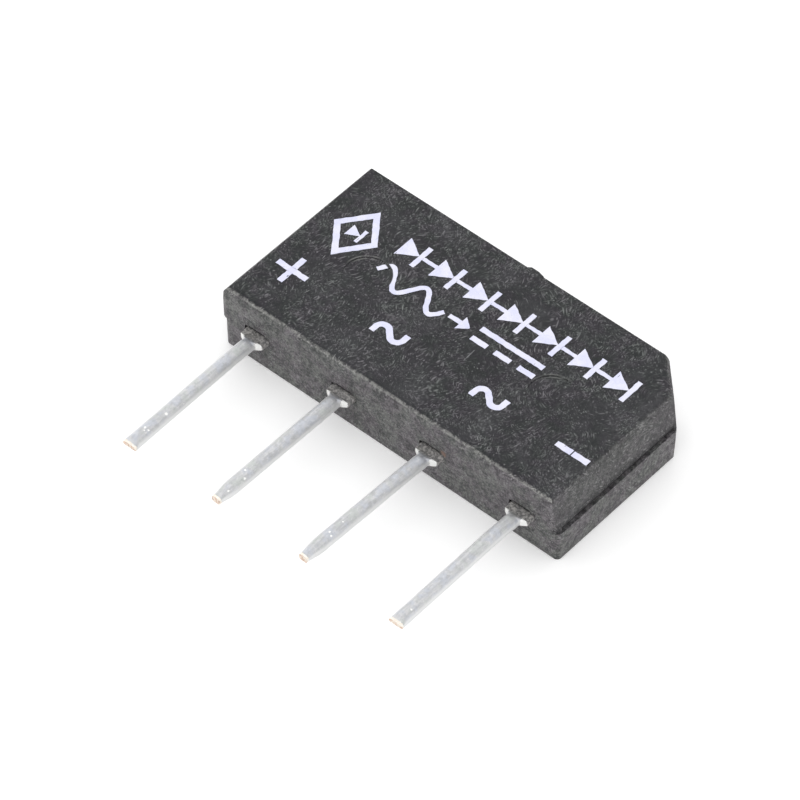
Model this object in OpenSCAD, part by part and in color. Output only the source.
// Bridge rectifier, single in-line: a moulded body on four pressed wire leads,
// with the four diode chips and the two clips that join them sealed inside.
// The origin is the centre of the back face. +X runs from the plus lead to the
// minus lead, the leads point along -Y and the marked face looks up along +Z.

/* [Body] */
// Length of the back half at the parting line
body_l = 19.35; // [18.4:0.05:22]
// Width, from the lead side to the far side
body_w = 9.65; // [8.4:0.05:12]
// Height of the back half, from the back face to the parting line
back_h = 1.65; // [1.5:0.05:2.6]
// Height of the marked half, from the parting line to the marked face
face_h = 1.9; // [1.5:0.05:2.6]
// Leg of the sloping corner beside the minus lead
slope_leg = 1.8; // [1:0.05:2.6]
// Rounding of the upright corner between the lead side and the plus end
plus_corner_r = 0.42; // [0.05:0.01:0.8]
// Rounding of the upright corner between the lead side and the minus end
minus_corner_r = 0.35; // [0.05:0.05:0.8]
// Rounding of the upright corner between the minus end and the slope
slope_end_r = 0.45; // [0.1:0.05:0.8]
// Rounding of the upright corner between the slope and the far side
slope_far_r = 1; // [0.1:0.05:1.4]
// Rounding of the upright corner between the far side and the plus end
far_corner_r = 0.3; // [0.05:0.05:0.6]
// Rounding of the marked face's edge at the lead side, the ends and the slope
face_edge_r = 0.35; // [0.05:0.01:0.6]
// Rounding of the marked face's edge at the far side
far_edge_r = 0.06; // [0.02:0.01:0.3]
// Rounding of the edge round the back face
back_edge_r = 0.08; // [0.02:0.01:0.2]

/* [Mould] */
// How far the ends lean in over the marked half
face_end_draft = 0.31; // [0.02:0.01:0.4]
// How far the ends lean in over the back half
back_end_draft = 0.02; // [0.01:0.01:0.2]
// How far the far side leans in over each half
far_side_draft = 0.05; // [0.02:0.01:0.2]
// How far the sloping corner leans in over each half
cut_corner_draft = 0.13; // [0.02:0.01:0.3]
// How far the marked half stands out from the back half at the plus end
plus_end_step = 0.15; // [0.04:0.01:0.25]
// How far the back half stands out from the marked half at the minus end
minus_end_step = 0.07; // [0.01:0.01:0.12]
// Height over which the plus end turns in above the parting line
undercut_h = 0.25; // [0.2:0.05:0.8]
// Depth of the groove along the parting line at the minus end
groove_d = 0.12; // [0.08:0.01:0.25]
// Height of the groove along the parting line at the minus end
groove_h = 0.42; // [0.2:0.02:0.8]
// Radius of the ejector marks in the marked face
ejector_r = 1.1; // [0.6:0.05:1.5]
// Depth of the ejector marks
ejector_d = 0.03; // [0.02:0.01:0.1]
// Distance of each ejector mark from the middle of the body, along it
ejector_x = 5.3; // [3:0.05:6.5]
// Distance of the ejector marks from the middle of the body, across it
ejector_y = -0.2; // [-1:0.05:1]
// Width of the gate stub where it meets the far side
gate_w = 0.9; // [0.75:0.05:2]
// Width of the gate stub at its broken end
gate_tip_w = 0.4; // [0.2:0.05:0.5]
// How far the broken end lies to the plus side of the stub's middle
gate_tip_x = 0.12; // [0:0.02:0.16]
// How far the gate stub stands out
gate_proud = 0.09; // [0.05:0.01:0.4]
// Distance of the gate stub from the middle of the body
gate_x = 0.2; // [-2:0.05:2]

/* [Leads] */
// Distance from lead to lead
lead_pitch = 5.08; // [4.9:0.02:5.2]
// Diameter of the lead wire
wire_d = 0.7; // [0.6:0.02:0.8]
// Length of each lead outside the body, plus lead first
lead_out = [8.25, 8.05, 8, 8.1]; // [6:0.05:12]
// Lean of each lead's end towards +X in degrees, plus lead first
lead_lean = [0.9, -0.5, -1.4, 0.3]; // [-2:0.1:2]
// Whether each lead's end is tapered (1) or cut square (0)
lead_tapered = [0, 1, 1, 0]; // [0:1:1]
// Length of the tapered end
taper_l = 0.9; // [0.4:0.05:1.4]
// Diameter at the tip of the tapered end
taper_tip_d = 0.44; // [0.3:0.02:0.5]
// Width of the wire where it is pressed flat
flat_w = 1.3; // [1:0.05:1.5]
// Radius of the pressed edges, as a share of the pressed thickness
flat_edge_share = 0.6; // [0.55:0.05:0.9]
// How far the flat reaches out of the body
flat_out = 0.4; // [0.2:0.05:0.5]
// Length over which the flat runs out into the round wire
press_l = 0.25; // [0.2:0.05:0.8]
// Height of the gap over the flat in the mouth of each lead slot
slot_gap = 0.12; // [0.05:0.01:0.2]
// Gap beside the flat in the mouth of each lead slot
slot_side_gap = 0.06; // [0.02:0.01:0.1]
// Rounding of the upper corners of each lead slot
slot_corner_r = 0.12; // [0.04:0.01:0.13]
// Depth of the mouth of each lead slot
slot_d = 0.35; // [0.2:0.05:0.8]

/* [Inside] */
// Width of the pressed head that carries the chips
head_w = 1.9; // [1.7:0.05:2.3]
// Length of the pressed head
head_l = 2.1; // [1.7:0.05:2.4]
// Rounding of the head's free corners
head_r = 0.4; // [0.1:0.05:0.5]
// Distance of the head's middle from the middle of the body
head_y = 0; // [-0.5:0.05:0.5]
// Side of each square diode chip
chip_side = 1.4; // [1.2:0.05:1.6]
// Thickness of each diode chip
chip_t = 0.3; // [0.2:0.02:0.35]
// Thickness of each solder layer
solder_t = 0.05; // [0.03:0.01:0.08]
// Width of the copper clips
clip_w = 1.1; // [0.8:0.05:1.2]
// Thickness of the copper clips
clip_t = 0.25; // [0.15:0.01:0.3]
// Length over which a clip steps up from its lead to the chips
clip_step_l = 0.5; // [0.3:0.05:0.9]

/* [Hidden] */
$fn = 48;

moulding_colour = [0.24, 0.24, 0.25];
tin_colour = [0.78, 0.79, 0.82];
copper_colour = [0.78, 0.48, 0.33];
silicon_colour = [0.33, 0.35, 0.4];
solder_colour = [0.6, 0.61, 0.63];

// The leads in their order along +X, and the two sides of a lead's head
LEADS = [0, 1, 2, 3];
PLUS = LEADS[0];
AC_1 = LEADS[1];
AC_2 = LEADS[2];
MINUS = LEADS[3];
UP = "up";
DOWN = "down";

body_h = back_h + face_h;
back_plus_end = -body_l / 2;
back_minus_end = body_l / 2;
marked_plus_end = back_plus_end - plus_end_step;
marked_minus_end = back_minus_end - minus_end_step;
lead_side_y = -body_w / 2;
far_side_y = body_w / 2;
// Cutting and trimming blocks reach this far past what they cut
past = 1;

// Pressing keeps the wire's cross-section, so a wider stretch is a thinner one
wire_area = PI * pow(wire_d / 2, 2);
flat_t = wire_area / flat_w;
head_t = wire_area / head_w;
// The flats lie on the parting line
lead_z = back_h + flat_t / 2;

// Levels above the middle of a lead's head
head_top = head_t / 2;
chip_bottom = head_top + solder_t;
chip_top = chip_bottom + chip_t;
bar_bottom = chip_top + solder_t;
foot_bottom = head_top + solder_t;

// X of the middle of a lead
function lead_x(i) = (i - (len(LEADS) - 1) / 2) * lead_pitch;

// Unit vectors from corner i of a closed outline to its neighbours
function unit(v) = v / norm(v);
function to_last(p, i) = unit(p[(i + len(p) - 1) % len(p)] - p[i]);
function to_next(p, i) = unit(p[(i + 1) % len(p)] - p[i]);
function half_corner(p, i) = acos(to_last(p, i) * to_next(p, i)) / 2;

// Where a round of radius r leaves and meets the straight sides at corner i
function round_ends(p, i, r) =
    let (run = r / tan(half_corner(p, i)))
    r > 0 ? [p[i] + to_last(p, i) * run, p[i] + to_next(p, i) * run] : [p[i]];
function round_centre(p, i, r) =
    p[i] + unit(to_last(p, i) + to_next(p, i)) * r / sin(half_corner(p, i));

// Convex outline with a true arc of radius radii[i] at corner points[i]
module rounded_outline(points, radii) {
    corners = [0 : len(points) - 1];
    polygon([for (i = corners) each round_ends(points, i, radii[i])]);
    for (i = corners)
        if (radii[i] > 0)
            translate(round_centre(points, i, radii[i])) circle(r = radii[i]);
}

// Puts a profile drawn as X and Z upright and gives it a length along Y
module along_y(from, to) {
    translate([0, to, 0]) rotate([90, 0, 0]) linear_extrude(to - from) children();
}

// Puts a profile drawn as Y and Z upright and gives it a length along X
module along_x(from, to) {
    translate([from, 0, 0]) rotate([90, 0, 90]) linear_extrude(to - from) children();
}

// ---------------------------------------------------------------- body

// Plan of one half of the body: a rectangle with one sloping corner
module plan_outline(plus_end) {
    minus_end = back_minus_end;
    rounded_outline(
        [
            [plus_end, lead_side_y], [minus_end, lead_side_y],
            [minus_end, far_side_y - slope_leg], [minus_end - slope_leg, far_side_y],
            [plus_end, far_side_y]
        ],
        [plus_corner_r, minus_corner_r, slope_end_r, slope_far_r, far_corner_r]
    );
}

// Block that trims the sloping corner to its own rounded top edge
module slope_trim(height, edge_r) {
    slope_mid = [back_minus_end - slope_leg / 2, far_side_y - slope_leg / 2];
    reach = body_l;
    translate(slope_mid) rotate(45)
        along_y(-reach, reach)
            rounded_outline(
                [[-reach, 0], [0, 0], [-cut_corner_draft, height], [-reach, height]],
                [0, 0, edge_r, 0]
            );
}

// One half of the moulding, standing on the parting line: its plan, its end
// profile (given) and its lead and far sides, all meeting in one solid
module moulded_half(height, plus_end, edge_r, far_r) {
    intersection() {
        linear_extrude(height) plan_outline(plus_end);
        along_y(lead_side_y - past, far_side_y + past) children();
        along_x(-body_l, body_l)
            rounded_outline(
                [
                    [lead_side_y, 0], [far_side_y, 0],
                    [far_side_y - far_side_draft, height], [lead_side_y, height]
                ],
                [0, 0, far_r, edge_r]
            );
        slope_trim(height, edge_r);
    }
}

// Marked half, whose plus end turns in again above the parting line
module marked_half() {
    translate([0, 0, back_h])
        moulded_half(face_h, marked_plus_end, face_edge_r, far_edge_r)
            rounded_outline(
                [
                    [back_plus_end, 0], [marked_minus_end, 0],
                    [marked_minus_end - face_end_draft, face_h],
                    [marked_plus_end + face_end_draft, face_h],
                    [marked_plus_end, undercut_h]
                ],
                [0, 0, face_edge_r, face_edge_r, 0]
            );
}

// Back half, drawn as it stands on the parting line and turned over
module back_half() {
    translate([0, 0, back_h]) mirror([0, 0, 1])
        moulded_half(back_h, back_plus_end, back_edge_r, back_edge_r)
            rounded_outline(
                [
                    [back_plus_end, 0], [back_minus_end, 0],
                    [back_minus_end - back_end_draft, back_h],
                    [back_plus_end + back_end_draft, back_h]
                ],
                [0, 0, back_edge_r, back_edge_r]
            );
}

// Groove along the parting line at the minus end, between the upright corners
module parting_groove() {
    end = marked_minus_end;
    groove_top = back_h + groove_h;
    along_y(lead_side_y + minus_corner_r, far_side_y - slope_leg - slope_end_r / 5)
        polygon([
            [end - groove_d, back_h], [end + past, back_h],
            [end + past, groove_top], [end, groove_top]
        ]);
}

// Stub left where the gate was broken off, from the parting line to the marked face
module gate_stub() {
    root_y = far_side_y - past;
    wall_y = far_side_y - far_side_draft;
    translate([gate_x, 0, back_h])
        linear_extrude(face_h)
            polygon([
                [-gate_w / 2, root_y], [gate_w / 2, root_y],
                [gate_w / 2, wall_y],
                [gate_tip_w / 2 - gate_tip_x, wall_y + gate_proud],
                [-gate_tip_w / 2 - gate_tip_x, wall_y + gate_proud],
                [-gate_w / 2, wall_y]
            ]);
}

// Shallow round mark left by an ejector pin
module ejector_mark() {
    translate([0, 0, body_h - ejector_d]) cylinder(r = ejector_r, h = ejector_d + past);
}

// Mouth of a lead slot, open above the flat of the lead
module slot_mouth() {
    slot_w = flat_w + 2 * slot_side_gap;
    slot_h = flat_t + slot_gap;
    translate([0, 0, back_h])
        along_y(lead_side_y - past, lead_side_y + slot_d)
            rounded_outline(
                [
                    [-slot_w / 2, 0], [slot_w / 2, 0],
                    [slot_w / 2, slot_h], [-slot_w / 2, slot_h]
                ],
                [0, 0, slot_corner_r, slot_corner_r]
            );
}

module body() {
    color(moulding_colour)
        difference() {
            union() {
                marked_half();
                back_half();
                gate_stub();
            }
            parting_groove();
            for (side = [-1, 1]) translate([side * ejector_x, ejector_y, 0]) ejector_mark();
            for (i = LEADS) {
                translate([lead_x(i), 0, 0]) slot_mouth();
                lead_inside(i);
            }
            for (i = [AC_1, AC_2], side = [UP, DOWN]) {
                on_head(i, side) lead_solder();
                on_head(i, side) chip();
                on_head(i, side) clip_solder();
            }
            for (side = [UP, DOWN]) {
                on_outer_head(side) foot_solder();
                on_outer_head(side) clip();
            }
        }
}

// --------------------------------------------------------------- leads

// Cross-section of the pressed wire: a strip with bulging edges
module flat_section() {
    edge_r = flat_edge_share * flat_t;
    edge_x = flat_w / 2 - edge_r;
    intersection() {
        square([flat_w + past, flat_t], center = true);
        union() {
            square([2 * edge_x, wire_d], center = true);
            for (side = [-1, 1]) translate([side * edge_x, 0]) circle(r = edge_r);
        }
    }
}

// Flat stem and chip head of a lead, from the lead side inwards. The stem is
// the thicker of the two and ends clear of the chips.
module lead_inside(i) {
    stem_end = head_y - (head_l + chip_side) / 4;
    translate([lead_x(i), 0, lead_z]) {
        along_y(lead_side_y, stem_end) flat_section();
        translate([0, head_y, -head_t / 2])
            linear_extrude(head_t)
                rounded_outline(
                    [
                        [-head_w / 2, -head_l / 2], [head_w / 2, -head_l / 2],
                        [head_w / 2, head_l / 2], [-head_w / 2, head_l / 2]
                    ],
                    [0, 0, head_r, head_r]
                );
    }
}

// Pressed flat outside the body. Its ears slant in and die out in the round wire.
module pressed_ears() {
    ears_end = flat_out + press_l;
    slant = (flat_w / 2 - wire_d / 4) / press_l;
    root_half_w = flat_w / 2 + slant * flat_out;
    intersection() {
        along_y(-ears_end, 0) flat_section();
        translate([0, 0, -wire_d / 2])
            linear_extrude(wire_d)
                polygon([
                    [-root_half_w, 0], [root_half_w, 0],
                    [wire_d / 4, -ears_end], [-wire_d / 4, -ears_end]
                ]);
    }
}

// Wedges pressed out of the start of the round wire, above and below the flat
module press_cut() {
    for (face = [0, 1]) mirror([0, 0, face])
        along_x(-wire_d, wire_d)
            polygon([
                [past, flat_t / 2], [0, flat_t / 2],
                [-press_l, wire_d / 2], [-press_l, wire_d], [past, wire_d]
            ]);
}

// Round wire, drawn from the end of the flat along -Y
module round_wire(length, tapered) {
    round_l = tapered ? length - taper_l : length;
    rotate([90, 0, 0]) {
        cylinder(d = wire_d, h = round_l);
        if (tapered)
            translate([0, 0, round_l]) cylinder(d1 = wire_d, d2 = taper_tip_d, h = taper_l);
    }
}

module lead(i) {
    color(tin_colour) {
        lead_inside(i);
        translate([lead_x(i), lead_side_y, lead_z]) {
            pressed_ears();
            translate([0, -flat_out, 0]) rotate([0, 0, lead_lean[i]])
                difference() {
                    round_wire(lead_out[i] - flat_out, lead_tapered[i] == 1);
                    press_cut();
                }
        }
    }
}

// -------------------------------------------------------- chips and clips

// Places a piece on the upper or lower side of a lead's head
module on_head(i, side) {
    translate([lead_x(i), head_y, lead_z])
        rotate([0, side == UP ? 0 : 180, 0])
            children();
}

// The plus clip starts on top of the plus lead, the minus clip under the minus lead
module on_outer_head(side) {
    on_head(side == UP ? PLUS : MINUS, side) children();
}

// Flat square layer of a given side and thickness, standing at a level
module layer(side, thickness, level) {
    translate([-side / 2, -side / 2, level]) cube([side, side, thickness]);
}

// Solder between a head and its chip
module lead_solder() {
    color(solder_colour) layer(chip_side, solder_t, head_top);
}

// Silicon diode chip
module chip() {
    color(silicon_colour) layer(chip_side, chip_t, chip_bottom);
}

// Solder between a chip and its clip
module clip_solder() {
    color(solder_colour) layer(clip_w, solder_t, chip_top);
}

// Solder between an outer lead's head and the foot of its clip
module foot_solder() {
    color(solder_colour) layer(clip_w, solder_t, head_top);
}

// Copper clip: a foot on the outer lead, a step, and a bar over two chips
module clip() {
    foot_end = clip_w / 2;
    bar_start = foot_end + clip_step_l;
    bar_end = 2 * lead_pitch + clip_w / 2;
    color(copper_colour)
        along_y(-clip_w / 2, clip_w / 2)
            polygon([
                [-clip_w / 2, foot_bottom], [foot_end, foot_bottom],
                [bar_start, bar_bottom], [bar_end, bar_bottom],
                [bar_end, bar_bottom + clip_t], [bar_start, bar_bottom + clip_t],
                [foot_end, foot_bottom + clip_t], [-clip_w / 2, foot_bottom + clip_t]
            ]);
}

// -------------------------------------------------------------- drawing

body();
lead(PLUS);  // lead_plus
lead(AC_1);  // lead_ac_1
lead(AC_2);  // lead_ac_2
lead(MINUS);  // lead_minus
on_head(AC_1, UP) chip();  // chip_ac1_plus
on_head(AC_2, UP) chip();  // chip_ac2_plus
on_head(AC_1, DOWN) chip();  // chip_minus_ac1
on_head(AC_2, DOWN) chip();  // chip_minus_ac2
on_outer_head(UP) clip();  // clip_plus
on_outer_head(DOWN) clip();  // clip_minus
on_head(AC_1, UP) lead_solder();  // solder_ac1_plus_lead
on_head(AC_1, UP) clip_solder();  // solder_ac1_plus_clip
on_head(AC_2, UP) lead_solder();  // solder_ac2_plus_lead
on_head(AC_2, UP) clip_solder();  // solder_ac2_plus_clip
on_head(AC_1, DOWN) lead_solder();  // solder_minus_ac1_lead
on_head(AC_1, DOWN) clip_solder();  // solder_minus_ac1_clip
on_head(AC_2, DOWN) lead_solder();  // solder_minus_ac2_lead
on_head(AC_2, DOWN) clip_solder();  // solder_minus_ac2_clip
on_outer_head(UP) foot_solder();  // solder_clip_plus
on_outer_head(DOWN) foot_solder();  // solder_clip_minus
